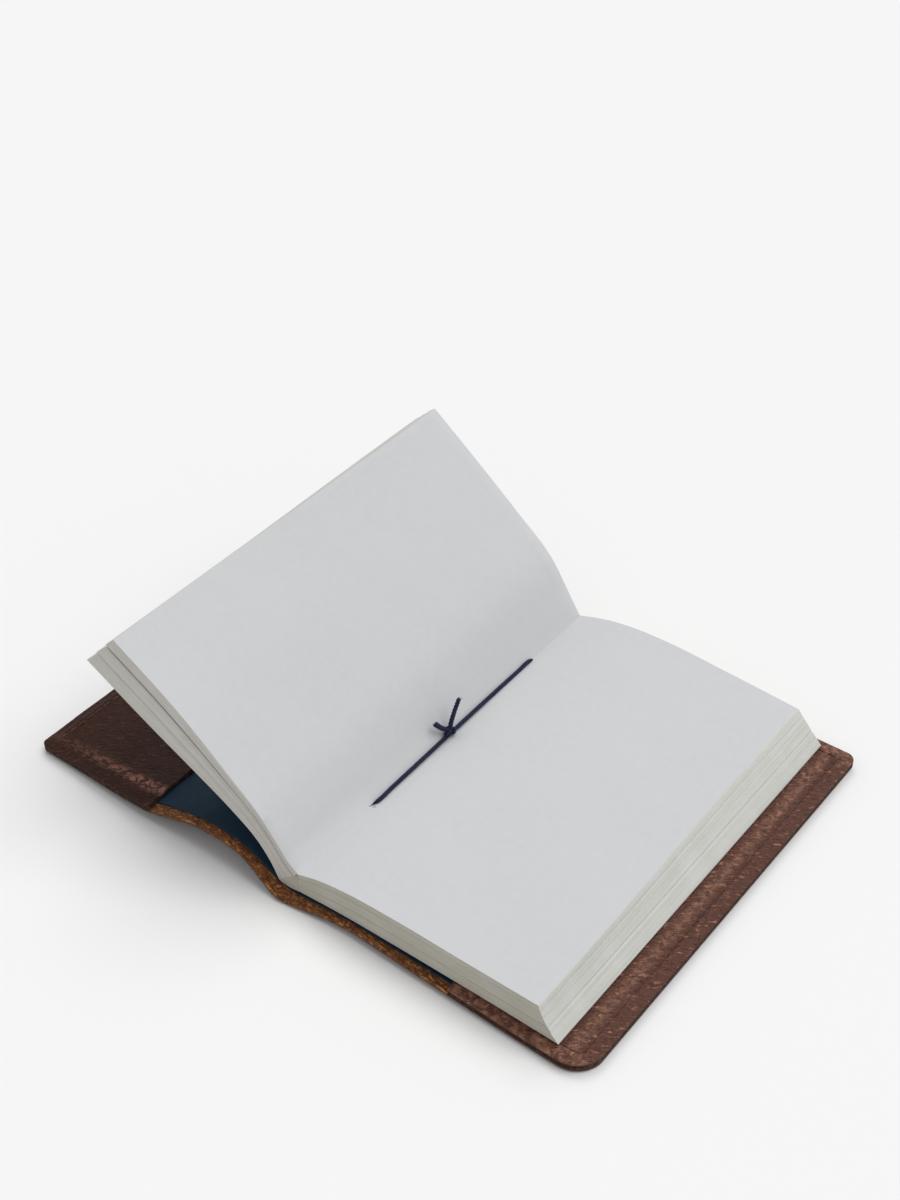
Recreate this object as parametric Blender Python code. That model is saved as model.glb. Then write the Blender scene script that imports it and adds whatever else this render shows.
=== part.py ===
"""Leather notebook cover with a thread-sewn notebook, lying open at the middle signature.

Units are metres, +Z is up, the spine runs along Y and the back cover lies on z = 0.
Lengths below are written in millimetres and scaled by MM where meshes are made.
"""

import math

import bmesh
import bpy
from mathutils import Matrix, Vector

MM = 0.001
GAP = 0.3

# Page block, millimetres
PAGE_HEIGHT = 140.0
GUTTER = (-0.15, 10.7)
RIGHT_FOLD_TOP = (0.15, 10.5)
RIGHT_BEND_TOP = (19.0, 15.2)
RIGHT_FORE_TOP = (82.5, 15.2)
RIGHT_FORE_BOTTOM = (89.5, 4.9)
RIGHT_FOLD_BOTTOM = (0.3, 4.9)
LEFT_FOLD_INNER = (-0.4, 10.8)
LEFT_BEND_INNER = (-11.8, 28.0)
LEFT_FORE_INNER = (-60.5, 68.0)
LEFT_FOLD_OUTER = (-7.6, 3.6)
LEFT_BEND_OUTER = (-15.8, 17.2)
LEFT_FORE_OUTER = (-71.3, 57.8)
RIGHT_SHARES = (("signature_3_right", 0.0, 0.2), ("signature_4", 0.2, 0.6), ("signature_5", 0.6, 1.0))
LEFT_SHARES = (("signature_3", 0.0, 0.23), ("signature_2", 0.23, 0.615), ("signature_1", 0.615, 1.0))

# Leather, card and flaps, millimetres
COVER_LENGTH = 146.6
LEATHER = 1.7
CARD = 0.4
FLAP = 1.4
CARD_LIFT = LEATHER + GAP
FLAP_LIFT = CARD_LIFT + CARD + GAP
BACK_FORE_EDGE = 100.0
BACK_FLAP_START = 57.0
BACK_CARD_END = 92.0
SPINE_LEFT = -5.0
SPINE_CARD_BOTTOM = 2.9
CORNER = 5.0
READING_CORNER = 9.0
HUMP = (
    (-8.5, 0.6), (-11.7, 2.9), (-15.2, 6.1), (-19.0, 7.9), (-26.4, 9.0),
    (-34.3, 9.0), (-42.4, 7.6), (-50.0, 5.0), (-54.0, 3.7),
)
PANEL_START = (-55.2, 3.3)
PANEL_END = (-103.0, 0.2)
FRONT_CARD_WIDTH = 39.0

# Stitches along each flap, millimetres
STITCH_INSET = 4.5
STITCH_PITCH = 4.0
STITCH_RADIUS = 0.2
STITCH_LIFT = 0.1

# Sewing thread, millimetres
THREAD_RADIUS = 0.6
THREAD_NEAR = -35.5
THREAD_FAR = 42.0
KNOT_HEIGHT = 14.3
KNOT_SCALE = 0.6
KNOT_RADIUS = 0.38
SPINE_THREAD_HALF = 35.0
SPINE_THREAD_RADIUS = 0.3

# Axis of the front cover and of the fold strip that joins it to the spine
HINGE = (-12.5, 14.3)

MATERIALS = {
    "leather_grain": ((0.072, 0.034, 0.022), 0.5),
    "leather_flap": ((0.055, 0.026, 0.018), 0.45),
    "paper": ((0.66, 0.66, 0.67), 0.9),
    "blue_card": ((0.012, 0.035, 0.06), 0.7),
    "sewing_thread": ((0.012, 0.017, 0.08), 0.6),
    "stitch_thread": ((0.1, 0.05, 0.033), 0.6),
}


def clear_scene():
    for obj in list(bpy.data.objects):
        bpy.data.objects.remove(obj, do_unlink=True)


def make_material(name):
    colour, roughness = MATERIALS[name]
    material = bpy.data.materials.new(name)
    material.use_nodes = True
    shader = material.node_tree.nodes["Principled BSDF"]
    shader.inputs["Base Color"].default_value = (*colour, 1.0)
    shader.inputs["Roughness"].default_value = roughness
    shader.inputs["Metallic"].default_value = 0.0
    return material


def along(a, b, share):
    """The point at that share of the way from a to b."""
    return (a[0] + (b[0] - a[0]) * share, a[1] + (b[1] - a[1]) * share)


def offset_line(points, distance):
    """The polyline moved to its right-hand side, which is up for a line that runs towards -X."""
    moved = []
    for i, point in enumerate(points):
        before = points[max(i - 1, 0)]
        after = points[min(i + 1, len(points) - 1)]
        dx = after[0] - before[0]
        dz = after[1] - before[1]
        size = math.hypot(dx, dz)
        moved.append((point[0] + dz / size * distance, point[1] - dx / size * distance))
    return moved


def rounded_outline(x0, x1, half_length, near_radius, far_radius):
    """A rectangle from x0 to x1 whose two corners at x1 are rounded."""
    side = 1.0 if x1 > x0 else -1.0
    outline = [(x0, half_length), (x0, -half_length)]
    for sign, radius in ((-1.0, near_radius), (1.0, far_radius)):
        centre = (x1 - side * radius, sign * (half_length - radius))
        for step in range(7):
            angle = math.radians(15.0 * step)
            if sign > 0:
                angle = math.pi / 2 - angle
            dx = side * radius * math.sin(angle)
            outline.append((centre[0] + dx, centre[1] + sign * radius * math.cos(angle)))
    return outline


class Builder:
    """Makes parts in one collection; each body has one empty on its joint's axis."""

    def __init__(self):
        self.collection = bpy.data.collections.new("leather_notebook_cover")
        bpy.context.scene.collection.children.link(self.collection)
        self.materials = {name: make_material(name) for name in MATERIALS}
        self.origins = {}

    def body(self, name, point, parent=None):
        empty = bpy.data.objects.new(name, None)
        empty.empty_display_size = 0.01
        self.collection.objects.link(empty)
        position = Vector((point[0] * MM, 0.0, point[1] * MM))
        empty.location = position
        if parent is not None:
            empty.parent = parent
            empty.location = position - self.origins[parent.name]
        self.origins[name] = position
        return empty

    def add(self, name, mesh, material, body=None, smooth=False):
        """Links the mesh, whose points are in the row frame, with its origin on the body's axis."""
        obj = bpy.data.objects.new(name, mesh)
        mesh.name = name
        mesh.materials.append(self.materials[material])
        if body is not None:
            mesh.transform(Matrix.Translation(-self.origins[body.name]))
            obj.parent = body
        if smooth:
            mesh.shade_smooth()
        self.collection.objects.link(obj)
        return obj


def prism(points, direction):
    """A closed solid: a flat outline of 3-D points in millimetres, swept along direction."""
    bm = bmesh.new()
    vertices = [bm.verts.new(Vector(point) * MM) for point in points]
    face = bm.faces.new(vertices)
    swept = bmesh.ops.extrude_face_region(bm, geom=[face])
    top = [item for item in swept["geom"] if isinstance(item, bmesh.types.BMVert)]
    bmesh.ops.translate(bm, verts=top, vec=Vector(direction) * MM)
    bmesh.ops.recalc_face_normals(bm, faces=bm.faces)
    mesh = bpy.data.meshes.new("solid")
    bm.to_mesh(mesh)
    bm.free()
    return mesh


def profile_prism(points, length):
    """A solid with an outline in the X-Z plane, centred on Y."""
    return prism([(x, -length / 2, z) for x, z in points], (0.0, length, 0.0))


def flat_plate(outline, bottom, thickness):
    return prism([(x, y, bottom) for x, y in outline], (0.0, 0.0, thickness))


def tube(points, radius, cyclic=False, sides=2):
    """A round thread along a polyline, as a closed mesh."""
    curve = bpy.data.curves.new("thread", "CURVE")
    curve.dimensions = "3D"
    curve.bevel_depth = radius * MM
    curve.bevel_resolution = sides
    curve.use_fill_caps = not cyclic
    spline = curve.splines.new("POLY")
    spline.points.add(len(points) - 1)
    for target, point in zip(spline.points, points):
        target.co = (point[0] * MM, point[1] * MM, point[2] * MM, 1.0)
    spline.use_cyclic_u = cyclic
    helper = bpy.data.objects.new("thread", curve)
    mesh = bpy.data.meshes.new_from_object(helper)
    bpy.data.objects.remove(helper)
    bpy.data.curves.remove(curve)
    bm = bmesh.new()
    bm.from_mesh(mesh)
    bmesh.ops.remove_doubles(bm, verts=bm.verts, dist=0.000001)
    bmesh.ops.recalc_face_normals(bm, faces=bm.faces)
    bm.to_mesh(mesh)
    bm.free()
    return mesh


def stitch_path(start, end, surface):
    """A thread along the three sewn sides of a flap: up over each stitch, down at each hole."""
    side = 1.0 if end > start else -1.0
    edge = COVER_LENGTH / 2 - STITCH_INSET
    fore = end - side * STITCH_INSET
    first = start + side * STITCH_PITCH / 2
    corners = [(first, -edge), (fore, -edge), (fore, edge), (first, edge)]
    low = surface + 0.05 + STITCH_RADIUS
    points = []
    for a, b in zip(corners, corners[1:]):
        length = math.dist(a, b)
        count = round(length / STITCH_PITCH)
        for i in range(count):
            for part, lift in ((0.05, 0.0), (0.25, STITCH_LIFT), (0.75, STITCH_LIFT), (0.95, 0.0)):
                x, y = along(a, b, (i + part) / count)
                points.append((x, y, low + lift))
    return points


def tilt_panel(mesh):
    """Moves a plate modelled from x = 0 towards -X into the plane of the lying front cover."""
    dx = PANEL_START[0] - PANEL_END[0]
    dz = PANEL_START[1] - PANEL_END[1]
    turn = Matrix.Rotation(-math.atan2(dz, dx), 4, "Y")
    place = Matrix.Translation(Vector((PANEL_START[0], 0.0, PANEL_START[1])) * MM)
    mesh.transform(place @ turn)
    return mesh


def build_back_cover(builder):
    half = COVER_LENGTH / 2
    outline = rounded_outline(SPINE_LEFT, BACK_FORE_EDGE, half, READING_CORNER, CORNER)
    builder.add("back_cover_leather", flat_plate(outline, 0.0, LEATHER), "leather_grain")
    outline = rounded_outline(BACK_FLAP_START, BACK_FORE_EDGE, half, READING_CORNER, CORNER)
    builder.add("back_flap_leather", flat_plate(outline, FLAP_LIFT, FLAP), "leather_flap")
    path = stitch_path(BACK_FLAP_START, BACK_FORE_EDGE, FLAP_LIFT + FLAP)
    builder.add("back_flap_stitching", tube(path, STITCH_RADIUS, sides=1), "stitch_thread")
    outline = rounded_outline(1.0, BACK_CARD_END, PAGE_HEIGHT / 2, CORNER, CORNER)
    builder.add("back_card", flat_plate(outline, CARD_LIFT, CARD), "blue_card")


def build_spine(builder):
    top = SPINE_CARD_BOTTOM + CARD
    card = [(-4.7, SPINE_CARD_BOTTOM), (0.7, SPINE_CARD_BOTTOM), (0.7, top), (-4.7, top)]
    builder.add("spine_card", profile_prism(card, PAGE_HEIGHT), "blue_card")
    height = (LEATHER + SPINE_CARD_BOTTOM) / 2
    for i in range(5):
        x = -4.3 + i
        ends = [(x, -SPINE_THREAD_HALF, height), (x, SPINE_THREAD_HALF, height)]
        mesh = tube(ends, SPINE_THREAD_RADIUS)
        builder.add(f"spine_thread_{i + 1}", mesh, "sewing_thread", smooth=True)


def build_right_pages(builder):
    for name, top_share, bottom_share in RIGHT_SHARES:
        low_gap = GAP / 10.0 if bottom_share < 1.0 else 0.0
        top = [
            along(RIGHT_FOLD_TOP, RIGHT_FOLD_BOTTOM, top_share),
            along(RIGHT_BEND_TOP, (RIGHT_BEND_TOP[0], RIGHT_FOLD_BOTTOM[1]), top_share),
            along(RIGHT_FORE_TOP, RIGHT_FORE_BOTTOM, top_share),
        ]
        share = bottom_share - low_gap
        bottom = [
            along(RIGHT_FOLD_TOP, RIGHT_FOLD_BOTTOM, share),
            along(RIGHT_BEND_TOP, (RIGHT_BEND_TOP[0], RIGHT_FOLD_BOTTOM[1]), share),
            along(RIGHT_FORE_TOP, RIGHT_FORE_BOTTOM, share),
        ]
        builder.add(name, profile_prism(top + bottom[::-1], PAGE_HEIGHT), "paper")


def build_left_pages(builder, folds, leaves):
    for name, inner_share, outer_share in LEFT_SHARES:
        share = outer_share - (0.03 if outer_share < 1.0 else 0.0)
        inner_bend = along(LEFT_BEND_INNER, LEFT_BEND_OUTER, inner_share)
        outer_bend = along(LEFT_BEND_INNER, LEFT_BEND_OUTER, share)
        fold = [
            along(LEFT_FOLD_INNER, LEFT_FOLD_OUTER, inner_share),
            inner_bend,
            outer_bend,
            along(LEFT_FOLD_INNER, LEFT_FOLD_OUTER, share),
        ]
        fore_inner = along(LEFT_FORE_INNER, LEFT_FORE_OUTER, inner_share)
        fore_outer = along(LEFT_FORE_INNER, LEFT_FORE_OUTER, share)
        length = math.dist(inner_bend, fore_inner)
        leaf = [
            along(inner_bend, fore_inner, GAP / length),
            fore_inner,
            fore_outer,
            along(outer_bend, fore_outer, GAP / length),
        ]
        side = "_left" if name == "signature_3" else ""
        fold_mesh = profile_prism(fold, PAGE_HEIGHT)
        builder.add(f"{name}_fold{side}", fold_mesh, "paper", folds)
        leaf_mesh = profile_prism(leaf, PAGE_HEIGHT)
        builder.add(f"{name}_leaves{side}", leaf_mesh, "paper", leaves)


def build_fold_strip(builder, strip):
    hump = list(HUMP)
    leather = hump + offset_line(hump, LEATHER)[::-1]
    builder.add("hinge_leather", profile_prism(leather, COVER_LENGTH), "leather_grain", strip)
    lower = offset_line(hump, CARD_LIFT)
    upper = offset_line(hump, CARD_LIFT + CARD)
    card = profile_prism(lower + upper[::-1], PAGE_HEIGHT)
    builder.add("hinge_card", card, "blue_card", strip)


def build_front_cover(builder, cover):
    half = COVER_LENGTH / 2
    width = math.dist(PANEL_START, PANEL_END)
    outline = rounded_outline(0.0, -width, half, CORNER, CORNER)
    leather = tilt_panel(flat_plate(outline, 0.0, LEATHER))
    builder.add("front_cover_leather", leather, "leather_grain", cover)
    flap = tilt_panel(flat_plate(outline, FLAP_LIFT, FLAP))
    builder.add("front_flap_leather", flap, "leather_flap", cover)
    path = stitch_path(0.0, -width, FLAP_LIFT + FLAP)
    mesh = tilt_panel(tube(path, STITCH_RADIUS, sides=1))
    builder.add("front_flap_stitching", mesh, "stitch_thread", cover)
    card_outline = rounded_outline(-0.5, -FRONT_CARD_WIDTH, PAGE_HEIGHT / 2, CORNER, CORNER)
    card = tilt_panel(flat_plate(card_outline, CARD_LIFT, CARD))
    builder.add("front_card", card, "blue_card", cover)


def build_centre_thread(builder):
    middle = 0.3
    line = []
    steps = 12
    for i in range(steps + 1):
        share = i / steps
        y = THREAD_NEAR + (THREAD_FAR - THREAD_NEAR) * share
        line.append((middle, y, 12.1 + 0.4 * math.sin(math.pi * share)))
    builder.add("centre_thread", tube(line, THREAD_RADIUS), "sewing_thread", smooth=True)
    knot = []
    count = 60
    for i in range(count):
        t = 2 * math.pi * i / count
        x = KNOT_SCALE * (math.sin(t) + 2 * math.sin(2 * t))
        y = KNOT_SCALE * (math.cos(t) - 2 * math.cos(2 * t))
        z = -KNOT_SCALE * math.sin(3 * t)
        knot.append((middle + x, y, KNOT_HEIGHT + z))
    knot_mesh = tube(knot, KNOT_RADIUS, cyclic=True)
    builder.add("thread_knot", knot_mesh, "sewing_thread", smooth=True)
    long_tail = [(0.3, 0.6, 15.9), (0.1, 1.8, 18.0), (0.0, 3.6, 20.4), (0.2, 5.2, 22.7)]
    builder.add("thread_tail_long", tube(long_tail, THREAD_RADIUS), "sewing_thread", smooth=True)
    short_tail = [(-0.4, -0.9, 15.9), (-0.9, -2.6, 17.2), (-1.2, -4.0, 17.9)]
    builder.add("thread_tail_short", tube(short_tail, THREAD_RADIUS), "sewing_thread", smooth=True)


def main():
    clear_scene()
    builder = Builder()
    folds = builder.body("page_turn_axis", GUTTER)
    leaves = builder.body("leaf_flex_axis", LEFT_BEND_INNER, folds)
    strip = builder.body("hinge_flex_axis", HINGE, folds)
    cover = builder.body("cover_swing_axis", HINGE, strip)
    build_back_cover(builder)
    build_spine(builder)
    build_right_pages(builder)
    build_left_pages(builder, folds, leaves)
    build_fold_strip(builder, strip)
    build_front_cover(builder, cover)
    build_centre_thread(builder)


main()
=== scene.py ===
"""An open leather notebook cover with five sewn signatures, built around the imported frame.

The spine runs along Y. The back cover and the right-hand pages lie at +X, the front cover
and the lifted left-hand pages at -X. Lengths below are millimetres unless they say metres.
"""

import math
import random

import bmesh
import bpy
import numpy as np
from mathutils import Matrix, Vector, noise


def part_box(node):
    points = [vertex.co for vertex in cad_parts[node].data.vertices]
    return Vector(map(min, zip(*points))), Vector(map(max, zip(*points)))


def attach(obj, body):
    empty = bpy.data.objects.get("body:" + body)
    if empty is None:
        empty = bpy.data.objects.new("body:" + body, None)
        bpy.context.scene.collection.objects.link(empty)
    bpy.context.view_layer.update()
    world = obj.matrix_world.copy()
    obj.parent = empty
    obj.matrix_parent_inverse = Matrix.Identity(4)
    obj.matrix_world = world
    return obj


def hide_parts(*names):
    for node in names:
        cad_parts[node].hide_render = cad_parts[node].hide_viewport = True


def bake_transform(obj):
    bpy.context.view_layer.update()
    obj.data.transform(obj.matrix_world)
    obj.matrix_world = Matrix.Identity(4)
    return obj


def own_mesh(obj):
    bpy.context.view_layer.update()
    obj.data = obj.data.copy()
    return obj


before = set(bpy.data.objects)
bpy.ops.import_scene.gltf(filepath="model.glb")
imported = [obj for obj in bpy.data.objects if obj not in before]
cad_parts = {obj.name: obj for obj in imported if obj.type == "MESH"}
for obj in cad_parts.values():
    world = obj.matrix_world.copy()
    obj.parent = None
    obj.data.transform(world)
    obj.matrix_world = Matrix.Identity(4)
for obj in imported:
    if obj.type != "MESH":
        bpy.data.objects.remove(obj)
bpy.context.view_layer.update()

MM = 0.001
METRE = 1000.0


def box_mm(node):
    """The lowest and highest corner of a CAD node in millimetres."""
    low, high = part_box(node)
    return low * METRE, high * METRE


# ---- driving dimensions

BACK_EDGE = box_mm("back_cover_leather")[1].x
FRONT_EDGE_REACH = 1.4
FLAP_LAP = 2.2
FRONT_EDGE = box_mm("front_cover_leather")[0].x - FRONT_EDGE_REACH
HALF_COVER = box_mm("back_cover_leather")[1].y
HALF_PAGE = box_mm("signature_5")[1].y
BACK_FLAP_START = box_mm("back_flap_leather")[0].x - FLAP_LAP
BACK_CARD_END = box_mm("back_card")[1].x
FRONT_CARD_END = box_mm("front_card")[0].x
BLOCK_TOP = box_mm("signature_3_right")[1].z
FORE_EDGE_BOTTOM = box_mm("signature_5")[1].x
THREAD_NEAR = box_mm("centre_thread")[0].y
THREAD_FAR = box_mm("centre_thread")[1].y

FRONT_FLAP_START = -55.0
LEATHER = 1.7
CARD = 0.45
FLAP = 1.25
LAYER_GAP = 0.05
ROUNDING = 0.45
STITCH_INSET = 4.5
STITCH_PITCH = 3.6
STITCH_RADIUS = 0.27
GROOVE_DEPTH = 0.22
GROOVE_WIDTH = 0.55
BORDER_FLAT = 1.6
BORDER_RISE = 1.8
CORNERS_BACK = (9, 3)
CORNERS_FRONT = (2.0, 4)
CARD_CORNERS = (3, 3, 3, 3)
CARD_LIFT = LEATHER + LAYER_GAP + 0.12
FLAP_LIFT = CARD_LIFT + LAYER_GAP + CARD

# Where the sheets change from one moving body to the next, along X
ROOT_END = 3.0
FOLD_END = -8.0
HINGE_END = -22.0
COVER_START = -50.0

# The underside of the leather, from the back cover's fore-edge over the spine and the hump
UNDERSIDE = [
    (BACK_EDGE, 0.25),
    (86, 0.3),
    (70, 0.55),
    (55, 1.0),
    (38, 1.5),
    (20, 1.8),
    (10, 1.2),
    (3, 0.45),
    (-3, 0.25),
    (-8.2, 1.3),
    (-11.7, 3.2),
    (-15, 5.3),
    (-19, 7.2),
    (-24, 8.5),
    (-31, 8.9),
    (-39, 8.0),
    (-47, 6.0),
    (-55, 3.7),
    (-66, 2.3),
    (-83, 1.3),
    (FRONT_EDGE, 0.35),
]
# How far the near edge of the leather stands outside the plane of the pages' near edge
NEAR_EDGE = [
    (-104, -71.6),
    (-90, -72.0),
    (-70, -72.9),
    (-58, -73.4),
    (-47, -73.0),
    (-38, -72.5),
    (-20, -72.5),
    (-12, -73.3),
    (-5, -74.1),
    (3, -73.1),
    (12, -72.1),
    (20, -71.8),
    (40, -72.4),
    (70, -72.9),
    (101, -73.3),
]

# The visible face of the left-hand pages at the near and the far end
LEFT_INNER_NEAR = [
    (0.0, 10.5), (-3.2, 13.3), (-7.5, 19.2), (-13, 26.2), (-22.6, 34.7), (-40.5, 49.5), (-63.8, 64.5),
]
LEFT_INNER_FAR = [(0.0, 12.0), (-4.4, 19.1), (-11.6, 30.4), (-26.4, 43.6), (-41.4, 56.0), (-58.5, 69.6)]
LEFT_OUTER_NEAR = [
    (-7.6, 3.3), (-10.4, 9.1), (-15.5, 15.6), (-23.6, 21.3), (-37, 28.6), (-52.9, 36.8), (-78.0, 50.9),
]
LEFT_OUTER_FAR = [(-7.6, 3.6), (-11.0, 12.0), (-18.0, 22.5), (-31, 35.0), (-50, 50.2), (-67.5, 63.2)]
LEFT_SHARES = {"signature_3": (0.0, 0.25), "signature_2": (0.295, 0.62), "signature_1": (0.632, 1.0)}

# The top of the right-hand pages, and their underside
RIGHT_TOP_NEAR = [(0.0, 10.5), (7, 12.9), (16.5, 14.6), (34.8, 15.5), (58, 15.3), (82.9, BLOCK_TOP)]
RIGHT_TOP_FAR = [(0.0, 12.0), (5.2, 13.8), (11.3, 15.5), (20.4, 17.0), (32.4, 17.5), (55, 16.4), (80.3, 14.7)]
RIGHT_BOTTOM = [(0.3, 3.5), (16, 4.5), (34, 4.8), (75, 4.7), (FORE_EDGE_BOTTOM, 4.4)]
RIGHT_SHARES = {"signature_3": (0.0, 0.2), "signature_4": (0.204, 0.607), "signature_5": (0.618, 1.0)}
RIGHT_EDGE_HOLLOW = 0.9
LEFT_LENGTH, LEFT_THICKNESS = 86.0, 19.0
RIGHT_LENGTH, RIGHT_THICKNESS = 88.0, 12.0
LEAF_BUNDLE = 0.24
OUTER_LEAF_INSET = 0.2
RAGGED = 0.11
LEFT_INSET = 0.15


# ---- curves and meshes


def chord_lengths(points):
    """How far along a line each of its points is."""
    return np.concatenate(([0.0], np.cumsum(np.linalg.norm(np.diff(points, axis=0), axis=1))))


def smooth_points(knots, chord, places):
    """Points at the given lengths of a smooth line through the knots."""
    slopes = np.gradient(knots, chord, axis=0)
    span = np.clip(np.searchsorted(chord, places, side="right") - 1, 0, len(chord) - 2)
    width = np.diff(chord)[span][:, None]
    t = (places - chord[span])[:, None] / width
    return (
        (2 * t**3 - 3 * t**2 + 1) * knots[span]
        + (t**3 - 2 * t**2 + t) * width * slopes[span]
        + (3 * t**2 - 2 * t**3) * knots[span + 1]
        + (t**3 - t**2) * width * slopes[span + 1]
    )


class Curve:
    """A smooth line through points in the XZ plane, read by its share of length."""

    SAMPLES = 800

    def __init__(self, control):
        knots = np.array(control, float)
        chord = chord_lengths(knots)
        self.points = smooth_points(knots, chord, np.linspace(0, chord[-1], self.SAMPLES))
        self.arc = chord_lengths(self.points)
        self.length = float(self.arc[-1])

    def at_length(self, u):
        x = float(np.interp(u, self.arc, self.points[:, 0]))
        z = float(np.interp(u, self.arc, self.points[:, 1]))
        return x, z

    def at(self, share):
        return self.at_length(share * self.length)

    def length_at_x(self, x):
        """Where along the line it reaches x, for a line that runs towards -X."""
        return float(np.interp(-x, -self.points[:, 0], self.arc))

    def normal(self, u):
        """The upward normal of a line that runs towards -X."""
        x0, z0 = self.at_length(max(u - 0.5, 0))
        x1, z1 = self.at_length(min(u + 0.5, self.length))
        size = math.hypot(x1 - x0, z1 - z0)
        return (z1 - z0) / size, -(x1 - x0) / size


def mix(a, b, share):
    return a + (b - a) * share


def mix_points(a, b, share):
    return mix(a[0], b[0], share), mix(a[1], b[1], share)


def ease(share):
    return share * share * (3 - 2 * share)


def new_object(name, vertices, faces, materials, uvs=None, indices=None, smooth=None):
    """A mesh object from vertices in millimetres, with a material and UVs per face."""
    mesh = bpy.data.meshes.new(name)
    mesh.from_pydata([(x * MM, y * MM, z * MM) for x, y, z in vertices], [], faces)
    for material in materials:
        mesh.materials.append(material)
    if indices:
        mesh.polygons.foreach_set("material_index", indices)
    flags = smooth if smooth else [True] * len(faces)
    mesh.polygons.foreach_set("use_smooth", flags)
    if uvs:
        layer = mesh.uv_layers.new(name="surface")
        flat = [value for face in uvs for corner in face for value in corner]
        layer.data.foreach_set("uv", flat)
    mesh.update()
    obj = bpy.data.objects.new(name, mesh)
    bpy.context.scene.collection.objects.link(obj)
    return obj


# ---- materials


class Shader:
    """A material's node tree with a Principled BSDF, and short ways to add to it."""

    def __init__(self, name, roughness=0.5, specular=0.5, sheen=0.0, coat=0.0):
        self.material = bpy.data.materials.new(name)
        self.material.use_nodes = True
        self.tree = self.material.node_tree
        self.bsdf = self.tree.nodes["Principled BSDF"]
        self.bsdf.inputs["Roughness"].default_value = roughness
        self.bsdf.inputs["Specular IOR Level"].default_value = specular
        self.bsdf.inputs["Sheen Weight"].default_value = sheen
        self.bsdf.inputs["Coat Weight"].default_value = coat

    def node(self, kind, **values):
        node = self.tree.nodes.new(kind)
        for key, value in values.items():
            setattr(node, key, value)
        return node

    def link(self, source, target):
        self.tree.links.new(source, target)

    def surface(self, scale=(1, 1, 1), angle=0.0, shift=(0, 0, 0)):
        """Coordinates on the sheet in millimetres, turned and then scaled."""
        place = self.node("ShaderNodeUVMap", uv_map="surface")
        turn = self.node("ShaderNodeMapping")
        turn.inputs["Rotation"].default_value = (0, 0, angle)
        turn.inputs["Location"].default_value = shift
        self.link(place.outputs["UV"], turn.inputs["Vector"])
        stretch = self.node("ShaderNodeMapping")
        stretch.inputs["Scale"].default_value = scale
        self.link(turn.outputs["Vector"], stretch.inputs["Vector"])
        return stretch.outputs["Vector"]

    def noise(self, vector, scale=1.0, detail=4.0, roughness=0.55, distortion=0.0):
        node = self.node("ShaderNodeTexNoise")
        node.inputs["Scale"].default_value = scale
        node.inputs["Detail"].default_value = detail
        node.inputs["Roughness"].default_value = roughness
        node.inputs["Distortion"].default_value = distortion
        self.link(vector, node.inputs["Vector"])
        return node.outputs["Fac"]

    def cells(self, vector, scale, feature="DISTANCE_TO_EDGE"):
        node = self.node("ShaderNodeTexVoronoi", feature=feature)
        node.inputs["Scale"].default_value = scale
        self.link(vector, node.inputs["Vector"])
        return node.outputs["Distance"]

    def warped(self, vector, scale, amount):
        """The same coordinates, pushed about by a slow noise."""
        drift = self.node("ShaderNodeTexNoise")
        drift.inputs["Scale"].default_value = scale
        drift.inputs["Detail"].default_value = 1.0
        self.link(vector, drift.inputs["Vector"])
        centred = self.node("ShaderNodeVectorMath", operation="SUBTRACT")
        self.link(drift.outputs["Color"], centred.inputs[0])
        centred.inputs[1].default_value = (0.5, 0.5, 0.5)
        pushed = self.node("ShaderNodeVectorMath", operation="MULTIPLY_ADD")
        self.link(centred.outputs["Vector"], pushed.inputs[0])
        pushed.inputs[1].default_value = (amount, amount, amount)
        self.link(vector, pushed.inputs[2])
        return pushed.outputs["Vector"]

    def math(self, operation, a, b=None):
        node = self.node("ShaderNodeMath", operation=operation)
        for socket, value in zip(node.inputs, (a, b)):
            if isinstance(value, (int, float)):
                socket.default_value = value
            elif value is not None:
                self.link(value, socket)
        return node.outputs[0]

    def band(self, value, low, high, to_low=0.0, to_high=1.0):
        """value mapped from low..high to to_low..to_high, held at both ends."""
        node = self.node("ShaderNodeMapRange", interpolation_type="SMOOTHSTEP")
        ends = (("From Min", low), ("From Max", high), ("To Min", to_low), ("To Max", to_high))
        for key, number in ends:
            node.inputs[key].default_value = number
        self.link(value, node.inputs["Value"])
        return node.outputs["Result"]

    def colours(self, share, first, second):
        """A mix of two colours, each a linear RGB triple or another mix."""
        node = self.node("ShaderNodeMix", data_type="RGBA")
        self.link(share, node.inputs["Factor"])
        for socket, value in ((node.inputs[6], first), (node.inputs[7], second)):
            if isinstance(value, tuple):
                socket.default_value = (*value, 1.0)
            else:
                self.link(value, socket)
        return node.outputs[2]

    def finish(self, colour, roughness=None, heights=()):
        """Links the colour, the roughness and the bump, heights being (socket, metres)."""
        self.link(colour, self.bsdf.inputs["Base Color"])
        if roughness is not None:
            self.link(roughness, self.bsdf.inputs["Roughness"])
        below = None
        for height, distance in heights:
            bump = self.node("ShaderNodeBump")
            bump.inputs["Strength"].default_value = 1.0
            bump.inputs["Distance"].default_value = distance
            self.link(height, bump.inputs["Height"])
            if below is not None:
                self.link(below, bump.inputs["Normal"])
            below = bump.outputs["Normal"]
        if below is not None:
            self.link(below, self.bsdf.inputs["Normal"])
        return self.material


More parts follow.
